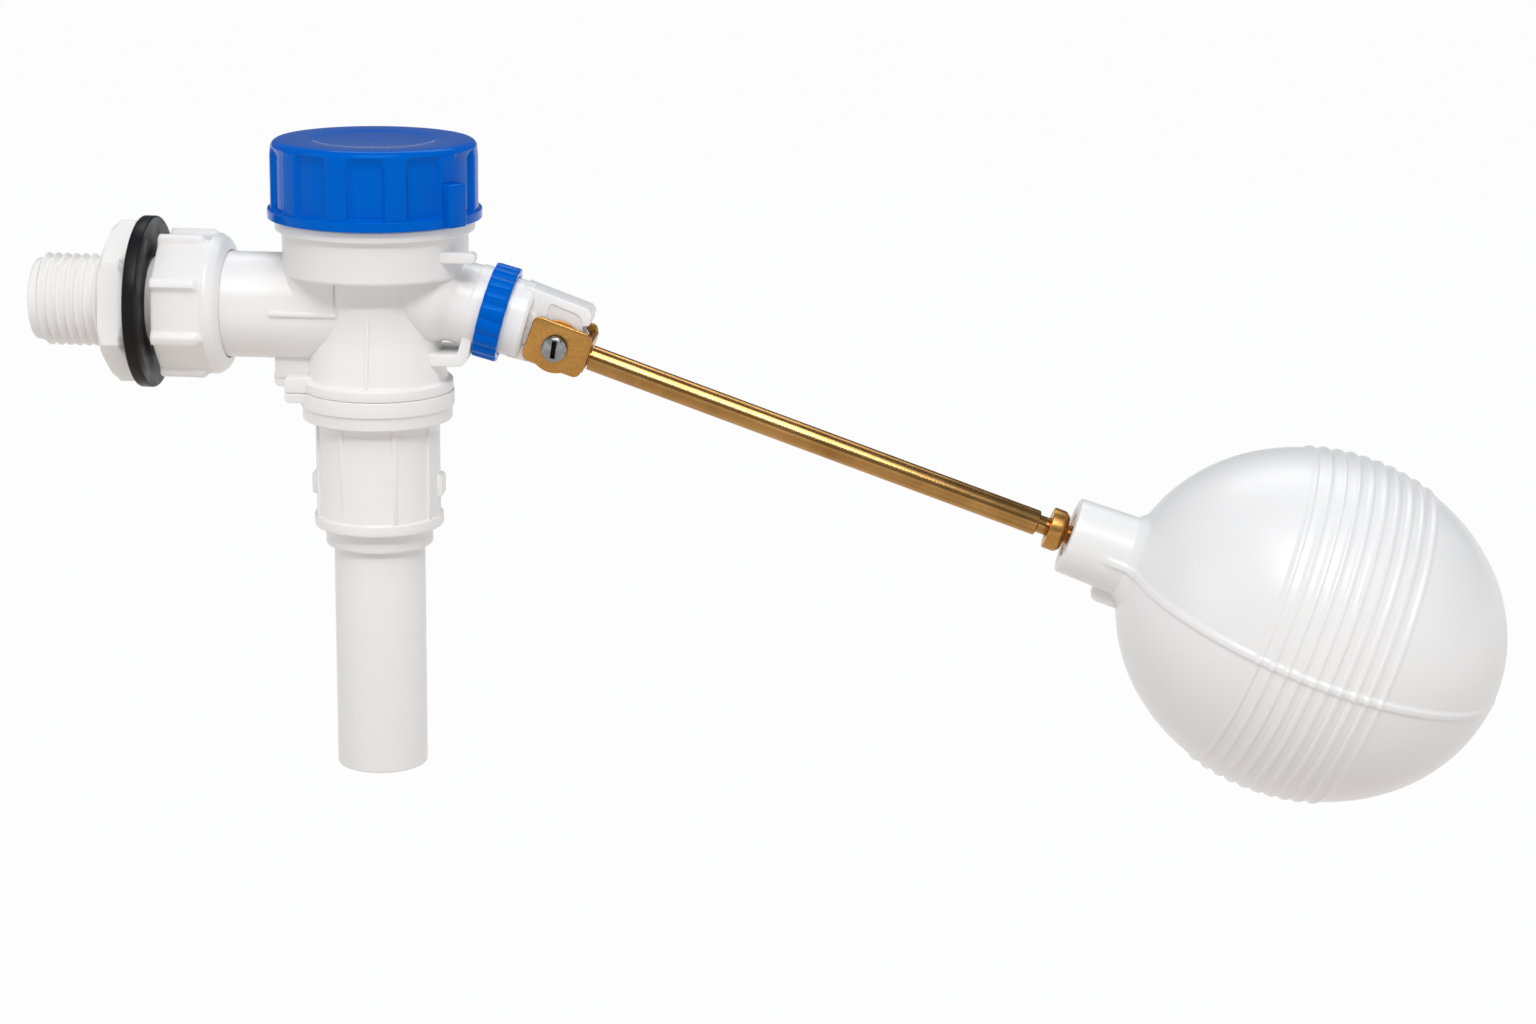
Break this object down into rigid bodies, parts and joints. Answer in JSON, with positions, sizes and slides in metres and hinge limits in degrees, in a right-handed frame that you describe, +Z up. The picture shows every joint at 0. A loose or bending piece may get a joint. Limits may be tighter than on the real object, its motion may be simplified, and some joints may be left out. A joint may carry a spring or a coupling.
{
  "type": "float valve",
  "caption": "Side-inlet tank float valve: threaded inlet with locknut, screw-capped diaphragm body, drop pipe, pilot lever with brass rod and hollow ball float.",
  "frame": {"origin": "on the inlet axis, at the tank-side face of the rubber tank washer, where the tank wall is clamped", "axes": "+X along the inlet axis towards the body and the float arm, +Z up, drop pipe pointing down along -Z, +Y to the back"},
  "size_m": [0.3349, 0.0802, 0.1459],
  "materials": {
    "white_plastic": "satin moulded ABS",
    "milky_plastic": "slightly translucent moulded polypropylene",
    "blue_plastic": "glossy moulded",
    "rubber": "semi-matt black rubber",
    "brass": "drawn and tumbled, slightly aged",
    "steel": "turned, slightly dull"
  },
  "bodies": {
    "valve": {"inlet_nipple": "white_plastic", "tank_washer": "rubber", "union_nut": "white_plastic", "union_gasket": "rubber", "valve_body": "white_plastic", "diaphragm": "rubber", "closing_spring": "steel", "outlet_housing": "white_plastic", "outlet_gasket": "rubber", "pipe_bush": "white_plastic", "drop_pipe": "white_plastic", "pilot_nut": "blue_plastic", "pilot_housing": "milky_plastic", "pilot_seal": "rubber", "pilot_nozzle": "brass", "lever_washer_front": "brass", "lever_washer_back": "brass", "pivot_screw": "steel", "pivot_nut": "steel"},
    "locknut": {"locknut": "white_plastic"},
    "diaphragm_group": {"diaphragm_plate": "white_plastic", "diaphragm_retainer": "white_plastic"},
    "pressure_cover": {"pressure_cover": "white_plastic"},
    "screw_cap": {"screw_cap": "blue_plastic"},
    "pilot_plunger": {"pilot_plunger": "white_plastic", "plunger_pad": "rubber"},
    "float_arm": {"lever_bracket": "brass", "float_rod": "brass", "rod_locknut": "brass", "float_insert": "brass", "float_ball": "milky_plastic"}
  },
  "joints": [
    {"name": "arm_pivot", "type": "hinge", "parent": "valve", "child": "float_arm", "pos_m": [0.095, 0, -0.0068], "axis": [0, -1, 0], "range_deg": [0, 18]},
    {"name": "plunger_travel", "type": "slide", "parent": "valve", "child": "pilot_plunger", "axis": [-0.9659, 0, 0.2588], "range_m": [0, 0.00086]},
    {"name": "diaphragm_lift", "type": "slide", "parent": "valve", "child": "diaphragm_group", "axis": [0, 0, 1], "range_m": [0, 0.0035], "stiffness_N_per_m": 300, "springref_m": -0.004, "deforming": ["closing_spring", "diaphragm"]},
    {"name": "cap_turn", "type": "hinge", "parent": "pressure_cover", "child": "screw_cap", "pos_m": [0.0535, 0, 0.0297], "axis": [0, 0, 1], "range_deg": [0, 1080]},
    {"name": "cap_lift", "type": "slide", "parent": "valve", "child": "pressure_cover", "axis": [0, 0, 1], "range_m": [0, 0.0091]},
    {"name": "locknut_travel", "type": "slide", "parent": "valve", "child": "locknut", "axis": [-1, 0, 0], "range_m": [0, 0.014]}
  ],
  "couplings": [
    {"joint": "plunger_travel", "follows": "arm_pivot", "m_per_rad": 0.0027},
    {"joint": "cap_lift", "follows": "cap_turn", "m_per_rad": 0.00047746}
  ]
}
